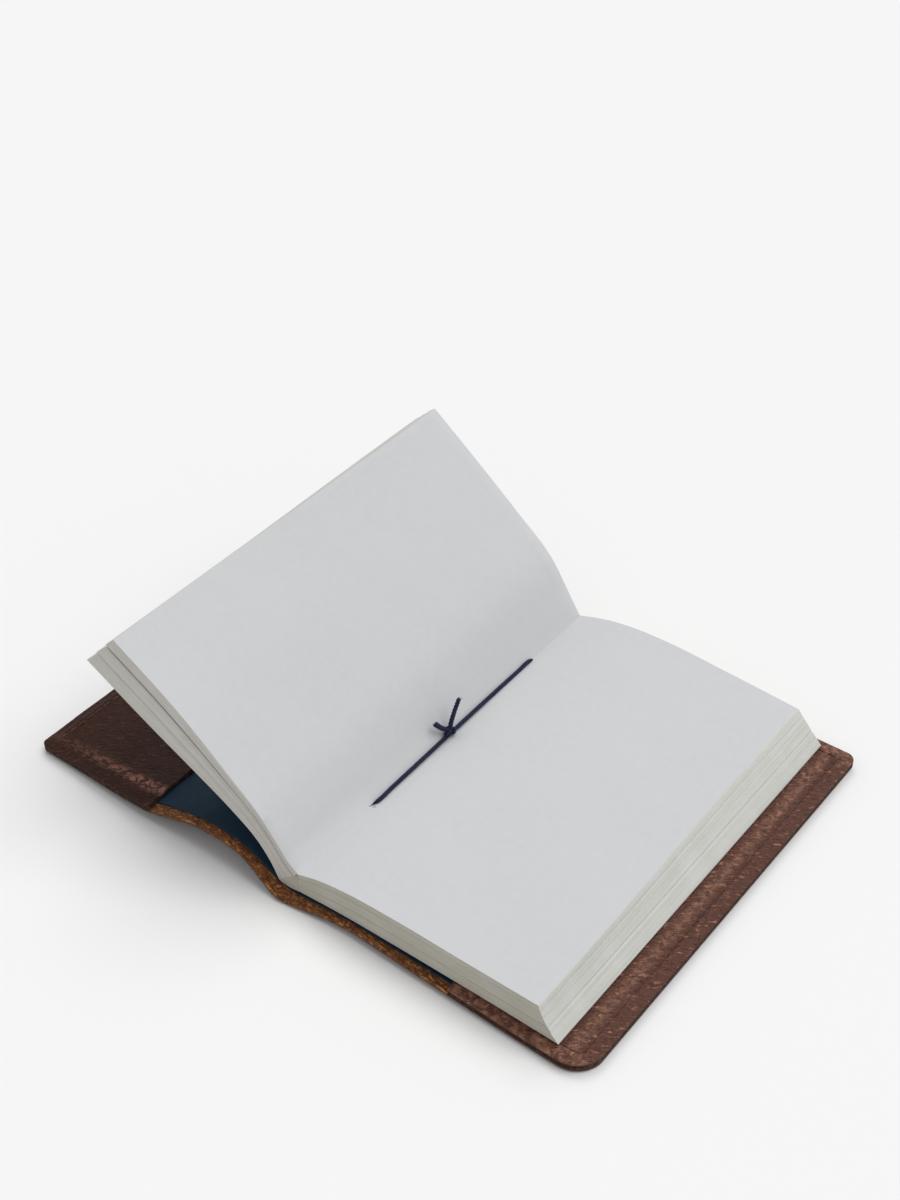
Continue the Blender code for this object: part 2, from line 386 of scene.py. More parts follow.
def grain_leather(name, base, dark, light, crease_angle, highlight_share, roughness, specular, painted_highlight=None):
    """Full-grain leather: fine pores and plump creases, with painted shade in the pebble grooves and crease
    valleys, and painted highlights on the plump creases and where the last argument's mask lies.
    """
    shader = Shader(name, roughness=roughness, specular=specular)
    plain = shader.surface()
    clouds = shader.noise(plain, scale=0.11, detail=3.0)
    fine = shader.noise(plain, scale=2.8, detail=5.0, roughness=0.65)
    pebble = shader.cells(shader.surface(scale=(1.0, 1.3, 1.0)), 1.15)
    valleys, plumps = None, None
    for shift, along, across in ((0, 0.21, 0.70), (37, 0.30, 1.15)):
        place = shader.surface(scale=(along, across, 1.0), angle=crease_angle, shift=(shift, shift, 0))
        edge = shader.cells(shader.warped(place, 0.8, 0.9), 1.0)
        valley = shader.band(edge, 0.0, 0.10)
        plump = shader.band(edge, 0.12, 0.42)
        valleys = valley if valleys is None else shader.math("MULTIPLY", valleys, valley)
        plumps = plump if plumps is None else shader.math("MAXIMUM", plumps, plump)
    lit = shader.band(shader.noise(shader.surface(shift=(11, 3, 0)), scale=0.42, detail=3.0), 0.44, 0.66)
    # Painted highlight: the light colour on the plump creases, in patches where a slow noise runs high.
    shine = shader.math("MULTIPLY", shader.math("MULTIPLY", plumps, lit), highlight_share)
    mottled = shader.colours(shader.band(fine, 0.3, 0.7), dark, base)
    # Painted shade: darker in the grooves between the pebbles, and next in the crease valleys.
    shaded = shader.colours(shader.band(pebble, 0.0, 0.08, 0.35, 1.0), dark, mottled)
    valley_shaded = shader.colours(shader.band(valleys, 0.0, 1.0, 0.25, 1.0), dark, shaded)
    colour = shader.colours(shader.band(clouds, 0.35, 0.7, 0.0, 0.4), valley_shaded, dark)
    colour = shader.colours(shine, colour, light)
    # Painted highlight: the light colour laid where the mask function says, broken into patches.
    if painted_highlight:
        place = shader.node("ShaderNodeSeparateXYZ")
        shader.link(plain, place.inputs[0])
        patches = shader.band(shader.noise(plain, scale=0.5, detail=5.0, roughness=0.7), 0.40, 0.62)
        highlight_mask = shader.math("MULTIPLY", painted_highlight(shader, place.outputs["X"], place.outputs["Y"]), patches)
        colour = shader.colours(highlight_mask, colour, light)
    rough = shader.band(fine, 0.25, 0.75, roughness - 0.08, roughness + 0.14)
    heights = [(shader.band(pebble, 0.0, 0.25), 0.00005), (valleys, 0.00010)]
    heights += [(plumps, 0.00028), (fine, 0.00006)]
    return shader.finish(colour, rough, heights)


# Where painted highlights lie on the flaps, as distances along the cover (u) and across it (y)
CROWN_Y = 66.6
CROWN_U = 7.4
FRONT_HIGHLIGHT_ALONG = (160.0, 205.0)
BACK_HIGHLIGHT_ACROSS = (67.0, 69.5)


def front_border_highlight(shader, u, y):
    """Painted highlight along the end stitches of the front flap, which grows towards the flap's opening."""
    away = shader.math("ABSOLUTE", shader.math("SUBTRACT", shader.math("ABSOLUTE", y), CROWN_Y))
    line = shader.band(away, 0.5, 3.2, 1.0, 0.0)
    return shader.math("MULTIPLY", line, shader.band(u, *FRONT_HIGHLIGHT_ALONG, 0.95, 0.12))


def back_border_highlight(shader, u, y):
    """Painted highlight on the crown inside the fore-edge stitches of the back flap, and along its two ends.
    """
    away = shader.math("ABSOLUTE", shader.math("SUBTRACT", u, CROWN_U))
    crown = shader.band(away, 0.4, 2.4, 0.45, 0.0)
    ends = shader.band(shader.math("ABSOLUTE", y), *BACK_HIGHLIGHT_ACROSS, 0.0, 0.5)
    return shader.math("MAXIMUM", crown, ends)


def fibrous_leather(name, base, dark, light):
    """The flesh side and the cut edge of leather: short, tangled tan fibres."""
    shader = Shader(name, specular=0.12, sheen=0.1)
    clumps = shader.noise(shader.surface(), scale=0.55, detail=4.0, roughness=0.6)
    fibres = shader.noise(shader.surface(), scale=1.5, detail=6.0, roughness=0.75, distortion=1.2)
    streaks = shader.noise(shader.surface(scale=(0.6, 2.0, 1)), scale=0.9, detail=5.0, distortion=1.0)
    first = shader.colours(shader.band(fibres, 0.40, 0.60), dark, base)
    second = shader.colours(shader.band(streaks, 0.50, 0.64, 0.0, 0.85), first, light)
    colour = shader.colours(shader.band(clumps, 0.46, 0.62, 0.0, 0.6), second, dark)
    rough = shader.band(fibres, 0.3, 0.7, 0.8, 0.98)
    return shader.finish(colour, rough, [(fibres, 0.0003), (streaks, 0.0002)])


def page_paper():
    """The face of a blank leaf: a smooth sheet with a faint formation and a slight cockle."""
    shader = Shader("page_paper", specular=0.25)
    formation = shader.noise(shader.surface(), scale=0.35, detail=6.0, roughness=0.6)
    cockle = shader.noise(shader.surface(scale=(0.8, 1, 1)), scale=0.035, detail=2.0)
    tooth = shader.noise(shader.surface(), scale=4.0, detail=3.0)
    cool = shader.colours(shader.band(formation, 0.3, 0.7), (0.594, 0.603, 0.620), (0.612, 0.620, 0.634))
    colour = shader.colours(shader.band(cockle, 0.35, 0.7, 0.0, 0.5), cool, (0.618, 0.625, 0.632))
    rough = shader.band(tooth, 0.3, 0.7, 0.84, 0.94)
    return shader.finish(colour, rough, [(cockle, 0.0006), (tooth, 0.000012)])


def page_edges(name, dark, light, bright):
    """The cut edge of a stack of leaves: a fine line for each sheet."""
    shader = Shader(name, specular=0.15)
    sheets = shader.noise(shader.surface(scale=(0.012, 5.5, 1)), scale=1.0, detail=3.0, roughness=0.7)
    bundles = shader.noise(shader.surface(scale=(0.006, 0.9, 1)), scale=1.0, detail=2.0)
    wear = shader.noise(shader.surface(), scale=0.12, detail=4.0)
    cream = shader.colours(shader.band(sheets, 0.35, 0.65), dark, light)
    banded = shader.colours(shader.band(bundles, 0.3, 0.7, 0.0, 0.4), cream, light)
    colour = shader.colours(shader.band(wear, 0.4, 0.8, 0.0, 0.35), banded, bright)
    rough = shader.band(sheets, 0.3, 0.7, 0.85, 0.97)
    return shader.finish(colour, rough, [(sheets, 0.00008), (bundles, 0.0001)])


def blue_card(name, base, dark, light):
    """Dyed cover card: a close fibre felt with a slight calendered sheen."""
    shader = Shader(name, specular=0.15)
    fibres = shader.noise(shader.surface(scale=(0.7, 2.0, 1)), scale=1.6, detail=6.0, roughness=0.7)
    clouds = shader.noise(shader.surface(), scale=0.06, detail=3.0)
    specks = shader.noise(shader.surface(), scale=3.5, detail=2.0)
    first = shader.colours(shader.band(fibres, 0.3, 0.7), dark, base)
    second = shader.colours(shader.band(clouds, 0.45, 0.75, 0.0, 0.35), first, light)
    colour = shader.colours(shader.band(specks, 0.68, 0.8, 0.0, 0.5), second, light)
    rough = shader.band(fibres, 0.3, 0.7, 0.5, 0.66)
    return shader.finish(colour, rough, [(fibres, 0.00008), (clouds, 0.0003)])


def waxed_thread(name, base, dark, light):
    """Waxed thread: fine fibres that run along each ply."""
    shader = Shader(name, specular=0.25, sheen=0.05)
    fibres = shader.noise(shader.surface(scale=(0.8, 7.0, 1)), scale=1.0, detail=4.0, roughness=0.7)
    wax = shader.noise(shader.surface(scale=(0.3, 1, 1)), scale=0.6, detail=2.0)
    first = shader.colours(shader.band(fibres, 0.32, 0.68), dark, base)
    colour = shader.colours(shader.band(wax, 0.5, 0.75, 0.0, 0.5), first, light)
    rough = shader.band(wax, 0.3, 0.7, 0.42, 0.62)
    return shader.finish(colour, rough, [(fibres, 0.00008)])


OUTER_GRAIN = grain_leather(
    "outer_grain", (0.125, 0.050, 0.029), (0.060, 0.023, 0.014), (0.26, 0.13, 0.085), 0.3, 0.35, 0.5, 0.3
)
BACK_FLAP_GRAIN = grain_leather(
    "back_flap_grain", (0.176, 0.064, 0.040), (0.080, 0.028, 0.017), (0.44, 0.215, 0.135),
    0.67, 0.8, 0.44, 0.3, back_border_highlight,
)
# The front flap: the back flap's leather drawn about three times darker with few highlights, partly its own
# tone and partly painted shade from the lifted pages.
FRONT_FLAP_GRAIN = grain_leather(
    "front_flap_grain", (0.060, 0.018, 0.010), (0.036, 0.011, 0.006), (0.44, 0.20, 0.135),
    0.5, 0.14, 0.46, 0.16, front_border_highlight,
)
BURNISHED_EDGE = fibrous_leather(
    "burnished_edge", (0.070, 0.026, 0.014), (0.030, 0.011, 0.007), (0.16, 0.075, 0.04)
)
FLESH_SIDE = fibrous_leather("flesh_side", (0.27, 0.098, 0.028), (0.06, 0.019, 0.007), (0.56, 0.25, 0.085))
CUT_EDGE = fibrous_leather("cut_edge", (0.24, 0.088, 0.028), (0.055, 0.018, 0.008), (0.50, 0.23, 0.085))
PAPER = page_paper()
FORE_EDGE = page_edges("page_fore_edge", (0.54, 0.54, 0.49), (0.67, 0.68, 0.645), (0.72, 0.73, 0.71))
# The ends of the right-hand pages and of the folds: a darker, warmer copy of the fore-edge colours, painted
# shade with a painted warm bounce from the leather.
SHADED_PAGE_ENDS = page_edges("page_ends", (0.40, 0.372, 0.300), (0.56, 0.540, 0.475), (0.60, 0.585, 0.53))
# The ends of the left-hand pages: a lighter copy than the right-hand ends, with less painted shade.
LEFT_END = page_edges("page_ends_left", (0.50, 0.480, 0.425), (0.67, 0.650, 0.61), (0.72, 0.705, 0.675))
CARD_FACE = blue_card("card_face", (0.0125, 0.040, 0.073), (0.006, 0.020, 0.039), (0.025, 0.060, 0.098))
CARD_EDGE = blue_card("card_edge", (0.035, 0.068, 0.105), (0.012, 0.03, 0.05), (0.08, 0.13, 0.18))
SEWING_THREAD = waxed_thread(
    "sewing_thread", (0.014, 0.018, 0.075), (0.004, 0.005, 0.022), (0.035, 0.045, 0.14)
)
STITCH_THREAD = waxed_thread(
    "stitch_thread", (0.13, 0.055, 0.034), (0.045, 0.018, 0.011), (0.28, 0.15, 0.11)
)


# ---- sheets of leather and card

underside = Curve(UNDERSIDE)
near_edge_line = np.array(NEAR_EDGE, float)


def near_edge(x):
    return float(np.interp(x, near_edge_line[:, 0], near_edge_line[:, 1]))


def on_underside(u, y, lift):
    """The point lift above the leather's underside, at length u from the back fore-edge."""
    x, z = underside.at_length(u)
    nx, nz = underside.normal(u)
    return x + nx * lift, y, z + nz * lift


def corner_cut(distance, radius):
    """How far a rounded corner pulls the side in, at a distance from the end."""
    if distance >= radius:
        return 0.0
    return radius - math.sqrt(max(radius**2 - (radius - distance) ** 2, 0.0))


def edge_fullness(distance):
    """The share of the thickness left near a rounded edge."""
    if distance >= ROUNDING:
        return 1.0
    return 0.35 + 0.65 * math.sqrt(1 - (1 - distance / ROUNDING) ** 2)


def spaced(start, end, step):
    count = max(1, round(abs(end - start) / step))
    return [mix(start, end, i / count) for i in range(count)]


EDGE_OFFSETS = [0.0, 0.08, 0.22, ROUNDING, 1.2, 2.4, 3.4]
GROOVE_OFFSETS = [STITCH_INSET + step * GROOVE_WIDTH for step in (-1.4, -0.7, 0, 0.7, 1.4)]


# Rows of faces along a border that carry the burnished edge, and its slot on the cover
BURNISHED_ROWS = 3
COVER_BURNISHED = 3


def edge_material(u, materials):
    """The slot of the cut edge: the last one where a flap is sewn on, or else the third."""
    x = underside.at_length(u)[0]
    return len(materials) - 1 if x > BACK_FLAP_START or x < FRONT_FLAP_START else 2


class Sheet:
    """A sheet that follows the leather's underside: a grid of stations along it and rows across."""

    MIDDLE_ROWS = 66
    LEAST_GAP = 0.07

    def __init__(self, start_x, end_x, lift, thick, near, far, radii, relief=None, step=1.6):
        self.start = underside.length_at_x(start_x)
        self.end = underside.length_at_x(end_x)
        self.lift = lift
        self.thick = thick
        self.near = near
        self.far = far
        self.radii = radii
        self.relief = relief
        self.step = step

    def stations(self, cuts=()):
        offsets = EDGE_OFFSETS + GROOVE_OFFSETS
        for radius in self.radii:
            if radius:
                offsets = offsets + [radius * (1 - math.cos(math.radians(a))) for a in range(15, 91, 15)]
        marks = {self.start + d for d in offsets} | {self.end - d for d in offsets}
        marks |= {self.start, self.end}
        marks |= set(spaced(self.start + 12, self.end - 12, self.step))
        marks |= {underside.length_at_x(x) for x in cuts}
        if cuts:
            marks |= set(spaced(underside.length_at_x(ROOT_END), underside.length_at_x(FOLD_END), 0.5))
        fixed = {underside.length_at_x(x) for x in cuts} | {self.start, self.end}
        kept = []
        for mark in sorted(m for m in marks if self.start <= m <= self.end):
            if kept and mark - kept[-1] < self.LEAST_GAP:
                if mark in fixed:
                    kept[-1] = mark
                continue
            kept.append(mark)
        return kept

    def row_values(self, u):
        x = underside.at_length(u)[0]
        near, far = self.near(x), self.far(x)
        start_near, start_far, end_near, end_far = self.radii
        from_start, from_end = u - self.start, self.end - u
        near += max(corner_cut(from_start, start_near), corner_cut(from_end, end_near))
        far -= max(corner_cut(from_start, start_far), corner_cut(from_end, end_far))
        offsets = EDGE_OFFSETS + GROOVE_OFFSETS + [7.5]
        left, right = near + offsets[-1], far - offsets[-1]
        middle = [mix(left, right, i / self.MIDDLE_ROWS) for i in range(1, self.MIDDLE_ROWS)]
        return [near + d for d in offsets] + middle + [far - d for d in reversed(offsets)]

    def point(self, u, y, level):
        """level is 0 on the lower face and 1 on the upper one."""
        rows = self.row_values(u)
        side = min(y - rows[0], rows[-1] - y, u - self.start, self.end - u)
        fullness = edge_fullness(side)
        height = self.lift + self.thick * (0.5 + (level - 0.5) * fullness)
        if self.relief:
            height += self.relief(self, u, y, level, rows)
        return on_underside(u, y, height)

    def grid(self, used):
        """Vertices, their places on the sheet and their levels, station by station."""
        vertices, coordinates, heights = [], [], []
        for u in used:
            rows = self.row_values(u)
            for level in (0, 1):
                for y in rows:
                    vertices.append(self.point(u, y, level))
                    coordinates.append((u, y))
                    heights.append(level * self.thick)
        return vertices, coordinates, heights

    def build(self, name, materials, low_x, high_x, stations):
        """The stretch of the sheet between two X values, closed at both ends."""
        first = max(underside.length_at_x(high_x), self.start)
        last = min(underside.length_at_x(low_x), self.end)
        used = [u for u in stations if first - 0.001 <= u <= last + 0.001]
        vertices, coordinates, heights = self.grid(used)
        count = len(self.row_values(used[0]))
        last_row = count - 1
        faces, indices, uvs = [], [], []

        def corner(i, j, level):
            return (i * 2 + level) * count + j

        def add(keys, index, edge_axis=None):
            corners = [corner(*key) for key in reversed(keys)]
            faces.append(corners)
            indices.append(index)
            if edge_axis is None:
                uvs.append([coordinates[c] for c in corners])
            else:
                uvs.append([(coordinates[c][edge_axis], heights[c]) for c in corners])

        for i in range(len(used) - 1):
            n = i + 1
            edge = edge_material((used[i] + used[n]) / 2, materials)
            inset = min(used[i] - self.start, self.end - used[n])
            for j in range(last_row):
                m = j + 1
                border = min(j, last_row - m) < BURNISHED_ROWS or inset < ROUNDING - 0.01
                burnished = border and edge == COVER_BURNISHED
                add([(i, j, 0), (i, m, 0), (n, m, 0), (n, j, 0)], 0)
                add([(i, j, 1), (n, j, 1), (n, m, 1), (i, m, 1)], edge if burnished else 1)
            add([(i, 0, 0), (n, 0, 0), (n, 0, 1), (i, 0, 1)], edge, 0)
            add([(i, last_row, 0), (i, last_row, 1), (n, last_row, 1), (n, last_row, 0)], edge, 0)
        for i, turned in ((0, False), (len(used) - 1, True)):
            for j in range(last_row):
                cap = [(i, j, 0), (i, j, 1), (i, j + 1, 1), (i, j + 1, 0)]
                add(cap[::-1] if turned else cap, edge_material(used[i], materials), 1)
        inner_start, inner_end = first > self.start + 0.01, last < self.end - 0.01
        body_faces = len(faces) - 2 * last_row
        smooth = [True] * body_faces + [not inner_start] * last_row + [not inner_end] * last_row
        obj = new_object(name, vertices, faces, materials, uvs, indices, smooth)
        return obj, body_faces, inner_start, inner_end


def matched_normals(sheet, obj, body_faces, inner_start, inner_end):
    """Sets a stretch's shading normals at its inner ends from its own faces only, so the caps there don't
    tilt them, and shades its end caps flat.
    """
    mesh = obj.data
    normals = [Vector(v.normal) for v in mesh.vertices]
    count = len(sheet.row_values(sheet.start))
    columns = len(mesh.vertices) // (2 * count)
    grid = np.array([v.co for v in mesh.vertices], float).reshape(columns, 2, count, 3)
    for at_end, column, inward in ((inner_start, 0, 1), (inner_end, columns - 1, -1)):
        if not at_end:
            continue
        for level in (0, 1):
            for j in range(1, count - 1):
                along = grid[column + inward, level, j] - grid[column, level, j]
                across = grid[column, level, j + 1] - grid[column, level, j - 1]
                normal = Vector(np.cross(across, along * inward))
                if normal.z * (1 if level else -1) < 0:
                    normal.negate()
                normals[(column * 2 + level) * count + j] = normal.normalized()
    loops = []
    for index, polygon in enumerate(mesh.polygons):
        for vertex in polygon.vertices:
            loops.append(normals[vertex] if index < body_faces else polygon.normal)
    mesh.normals_split_custom_set([tuple(n) for n in loops])


STRETCHES = [
    ("back", ROOT_END, 999.0, ("root",)),
    ("spine", FOLD_END, ROOT_END, ("root", "page_folds")),
    ("fold", HINGE_END, FOLD_END, ("page_folds", "front_hinge")),
    ("hump", COVER_START, HINGE_END, ("front_hinge", "front_cover")),
    ("front", -999.0, COVER_START, ("front_cover",)),
]


def hang_on(obj, bodies):
    """Rides on its one body, or, for a stretch between two bodies, has its placement baked into the mesh."""
    if len(bodies) == 1:
        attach(obj, bodies[0])
    else:
        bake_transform(obj)


def build_stretches(sheet, label, materials, replaced):
    stations = sheet.stations(cuts=(ROOT_END, FOLD_END, HINGE_END, COVER_START))
    for part, low_x, high_x, bodies in STRETCHES:
        obj, body_faces, inner_start, inner_end = sheet.build(
            f"{label}_{part}", materials, low_x, high_x, stations
        )
        matched_normals(sheet, obj, body_faces, inner_start, inner_end)
        hang_on(obj, bodies)
        if part in replaced:
            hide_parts(*replaced[part])


def waviness(u, y, size, height):
    """A slow, uneven rise and fall, the same on each run."""
    return height * noise.noise(Vector((u / size, y / size, 3.7)))


def leather_relief(sheet, u, y, level, rows):
    """The hand-cut edge wanders a little, and the flesh side is uneven."""
    if level == 0:
        return 0.0
    return waviness(u, y, 4.0, 0.12) + waviness(u, y, 1.7, 0.05)


def flap_relief(sheet, u, y, level, rows):
    """The sewn border lies down on the leather, the stitches pull a groove, and the rest is uneven."""
    fore = u - sheet.start if sheet.start < underside.length_at_x(0) else sheet.end - u
    near, far = y - rows[0], rows[-1] - y
    border = min(max(min(fore, near, far) - BORDER_FLAT, 0.0) / BORDER_RISE, 1.0)
    drop = -(CARD + LAYER_GAP + 0.1) * (1 - ease(border))
    if level == 0:
        return drop
    away = STITCH_INSET - min(fore, near, far)
    groove = math.exp(-((away / GROOVE_WIDTH) ** 2))
    crown = 0.12 * math.exp(-(((away - 2.2) / 1.3) ** 2)) + 0.10 * math.exp(-(((away + 2.4) / 1.6) ** 2))
    return drop + crown - GROOVE_DEPTH * groove + waviness(u, y, 9.0, 0.16) + waviness(u, y, 3.0, 0.07)


def card_near(_):
    return -HALF_PAGE


def card_far(_):
    return HALF_PAGE


def cover_far(_):
    return HALF_COVER


def build_cover():
    corners = CORNERS_BACK + CORNERS_FRONT
    leather = Sheet(
        BACK_EDGE, FRONT_EDGE, 0.0, LEATHER, near_edge, cover_far, corners, leather_relief, step=1.5
    )
    replaced = {
        "back": ["back_cover_leather"],
        "hump": ["hinge_leather"],
        "front": ["front_cover_leather"],
    }
    materials = [OUTER_GRAIN, FLESH_SIDE, CUT_EDGE, BURNISHED_EDGE]
    build_stretches(leather, "cover_leather", materials, replaced)
    card = Sheet(
        BACK_CARD_END, FRONT_CARD_END, CARD_LIFT, CARD, card_near, card_far, CARD_CORNERS, step=1.8
    )
    replaced = {
        "back": ["back_card"],
        "spine": ["spine_card"],
        "hump": ["hinge_card"],
        "front": ["front_card"],
    }
    build_stretches(card, "card", [CARD_FACE, CARD_FACE, CARD_EDGE], replaced)


# ---- threads


def frames_along(line):
    """Each point of a line with two directions square to it, which don't turn about it."""
    frames, side = [], None
    for i, here in enumerate(line):
        ahead = (line[min(i + 1, len(line) - 1)] - line[max(i - 1, 0)]).normalized()
        if side is None:
            side = ahead.orthogonal().normalized()
        side = (side - ahead * side.dot(ahead)).normalized()
        frames.append((here, side, ahead.cross(side)))
    return frames


def tube(points, radius, sides, uv_start=0.0):
    """Vertices, faces and UVs of a capped tube along points; radius may be one value or one a point."""
    line = [Vector(p) for p in points]
    radii = radius if isinstance(radius, list) else [radius] * len(line)
    vertices, faces, uvs, places = [], [], [], []
    travelled = uv_start
    for i, (here, side, up) in enumerate(frames_along(line)):
        if i:
            travelled += (here - line[i - 1]).length
        places.append(travelled)
        for k in range(sides):
            angle = 2 * math.pi * k / sides
            vertices.append(here + (side * math.cos(angle) + up * math.sin(angle)) * radii[i])
    for i in range(len(line) - 1):
        for k in range(sides):
            n = (k + 1) % sides
            faces.append([i * sides + k, i * sides + n, (i + 1) * sides + n, (i + 1) * sides + k])
            low, high = places[i], places[i + 1]
            uvs.append([(low, k), (low, k + 1), (high, k + 1), (high, k)])
    for ring, turned in ((0, True), (len(line) - 1, False)):
        cap = [ring * sides + k for k in range(sides)]
        faces.append(cap[::-1] if turned else cap)
        uvs.append([(places[ring] + 0.1 * math.cos(k), 0.1 * math.sin(k)) for k in range(sides)])
    return vertices, faces, uvs


def join_tubes(name, tubes, material):
    vertices, faces, uvs = [], [], []
    for some_vertices, some_faces, some_uvs in tubes:
        base = len(vertices)
        vertices += some_vertices
        faces += [[base + v for v in face] for face in some_faces]
        uvs += some_uvs
    return new_object(name, vertices, faces, [material], uvs)


def resample(points, step):
    """Points every step along a smooth 3-D line through the given ones."""
    knots = np.array(points, float)
    chord = chord_lengths(knots)
    count = max(2, int(chord[-1] / step) + 1)
    return [Vector(p) for p in smooth_points(knots, chord, np.linspace(0, chord[-1], count))]


STEPS_A_TURN = 9


def twisted(points, radius, plies=3, pitch=3.2, taper=None):
    """The plies of a twisted thread along a smooth line, as tubes."""
    ply_radius = radius * 0.5
    orbit = radius - ply_radius
    frames = frames_along(resample(points, pitch / STEPS_A_TURN))
    tubes = []
    for ply in range(plies):
        strand, radii = [], []
        for i, (here, across, up) in enumerate(frames):
            share = i / (len(frames) - 1)
            size = taper(share) if taper else 1.0
            turn = 2 * math.pi * (i / STEPS_A_TURN + ply / plies)
            strand.append(here + (across * math.cos(turn) + up * math.sin(turn)) * orbit * size)
            radii.append(ply_radius * size)
        tubes.append(tube(strand, radii, 8))
    return tubes


def fraying(end, direction, count, length, seed):
    """Loose fibres at a cut end."""
    draw = random.Random(seed)
    tubes = []
    for _ in range(count):
        lean = Vector((draw.uniform(-1, 1), draw.uniform(-1, 1), draw.uniform(-1, 1)))
        way = (direction + lean * 0.35).normalized()
        start = end + lean * 0.3 - direction * 0.5
        reach = length * draw.uniform(0.5, 1.0)
        bend = lean * 0.12 * reach
        points = [start, start + way * reach * 0.5 + bend, start + way * reach + bend * 2.2]
        tubes.append(tube(resample(points, 0.25), 0.07, 5))
    return tubes


THREAD_X = 0.3
KNOT_AT = Vector((THREAD_X, -0.3, 13.4))
THREAD_RADIUS = 0.68
KNOT_RADIUS = 0.52
TAIL_RADIUS = 0.78
STUB_RADIUS = 0.80
LONG_TAIL = [(0.1, -0.2, 0), (-0.3, 1.1, 2.2), (-0.5, 3.0, 5.2), (-0.3, 5.3, 9.2)]
SHORT_TAIL = [(0.1, 0.3, 0), (-0.7, -1.6, 1.6), (-1.4, -3.2, 3.3), (-1.9, -4.2, 4.8)]
TORN_FLAKE = [(-0.7, -0.9, -0.6), (0.7, -0.8, -0.6), (0.8, 0.6, -0.5), (-0.1, 0.4, -0.4), (0.2, -0.1, 0.65)]


def hold_in_gutter(piece):
    """Rides on the right-hand pages' body, with a mesh of its own."""
    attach(piece, "root")
    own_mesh(piece)


def thin_near_end(share):
    """The thread's size along its length: it's drawn thin where it goes into the near hole."""
    return mix(0.12, 1.0, ease(min(max(share - 0.012, 0.0) / 0.035, 1.0)))


def sewn_run():
    """The long stitch down the middle of the fold, which goes into the paper at both ends."""
    line = [(THREAD_X - 0.9, THREAD_NEAR - 2.6, 11.1), (THREAD_X - 0.5, THREAD_NEAR - 0.9, 11.15)]
    for i in range(13):
        share = i / 12
        y = mix(THREAD_NEAR + 0.6, THREAD_FAR - 0.6, share)
        z = mix(11.5, 12.3, share) + 0.5 * math.sin(math.pi * share)
        line.append((THREAD_X + 0.12 * math.sin(5 * share), y, z))
    line.append((THREAD_X - 0.2, THREAD_FAR + 1.5, 11.0))
    return join_tubes("sewn_thread", twisted(line, THREAD_RADIUS, taper=thin_near_end), SEWING_THREAD)


def overhand_knot():
    loop = []
    for i in range(57):
        t = 2 * math.pi * i / 64 + 0.6
        x = 0.46 * (math.sin(t) + 2 * math.sin(2 * t))
        y = 0.66 * (math.cos(t) - 2 * math.cos(2 * t))
        z = -0.45 * math.sin(3 * t)
        loop.append(KNOT_AT + Vector((x, y, z)))
    return join_tubes("thread_knot_tied", twisted(loop, KNOT_RADIUS, pitch=2.4), SEWING_THREAD)


def tail(name, offsets, radius, start_size, end_size, fibres):
    """A cut end of thread that stands off the knot. fibres is (count, length, seed) of its fraying."""
    line = [KNOT_AT + Vector(p) for p in offsets]
    tubes = twisted(line, radius, taper=lambda share: mix(start_size, end_size, share))
    tip = (line[-1] - line[-2]).normalized()
    return join_tubes(name, tubes + fraying(line[-1], tip, *fibres), SEWING_THREAD)


def build_torn_flake():
    """The bit of paper that the thread pulls up at its near hole."""
    hole = Vector((THREAD_X + 0.55, THREAD_NEAR - 0.9, 11.35))
    faces = [[0, 1, 4], [1, 2, 4], [2, 3, 4], [3, 0, 4], [3, 2, 1, 0]]
    corners = [hole + Vector(p) for p in TORN_FLAKE]
    flake = new_object("paper_burr", corners, faces, [PAPER], smooth=[False] * len(faces))
    flake.data.uv_layers.new(name="surface")
    hold_in_gutter(flake)


def build_centre_thread():
    thread = sewn_run()
    knot = overhand_knot()
    long_tail = tail("thread_tail_far", LONG_TAIL, TAIL_RADIUS, 1.05, 0.92, (9, 0.9, 11))
    short_tail = tail("thread_tail_near", SHORT_TAIL, STUB_RADIUS, 0.95, 1.2, (16, 1.1, 12))
    build_torn_flake()
    pairs = ((thread, "centre_thread"), (knot, "thread_knot"), (long_tail, "thread_tail_long"))
    pairs += ((short_tail, "thread_tail_short"),)
    for piece, node in pairs:
        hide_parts(node)
        hold_in_gutter(piece)


# One stitch: its share of the pitch and its height over the leather
STITCH = [(0.1, -0.3), (0.17, 0.06), (0.32, 0.2), (0.5, 0.24), (0.68, 0.2), (0.83, 0.06), (0.9, -0.3)]


def stitch_row(stitched_u, height, below):
    """The stitches along the three sewn sides of a flap, as tubes on the sheet's surface."""
    start_u, fore_u = stitched_u
    near_y = near_edge(underside.at_length(start_u)[0]) + STITCH_INSET
    far_y = HALF_COVER - STITCH_INSET
    tubes = []

    def side(a, b):
        length = math.dist(a, b)
        count = max(1, round(length / STITCH_PITCH))
        for i in range(count):
            points = []
            for part, lift in STITCH:
                share = (i + part) / count
                u, y = mix(a[0], b[0], share), mix(a[1], b[1], share)
                lifted = height - lift if below else height + lift
                points.append(on_underside(u, y, lifted))
            tubes.append(tube(resample(points, 0.3), STITCH_RADIUS, 7, uv_start=7.3 * i))

    fore_near = near_edge(underside.at_length(fore_u)[0]) + STITCH_INSET
    side((start_u, near_y), (fore_u, fore_near))
    side((fore_u, fore_near), (fore_u, far_y))
    side((fore_u, far_y), (start_u, far_y))
    return tubes


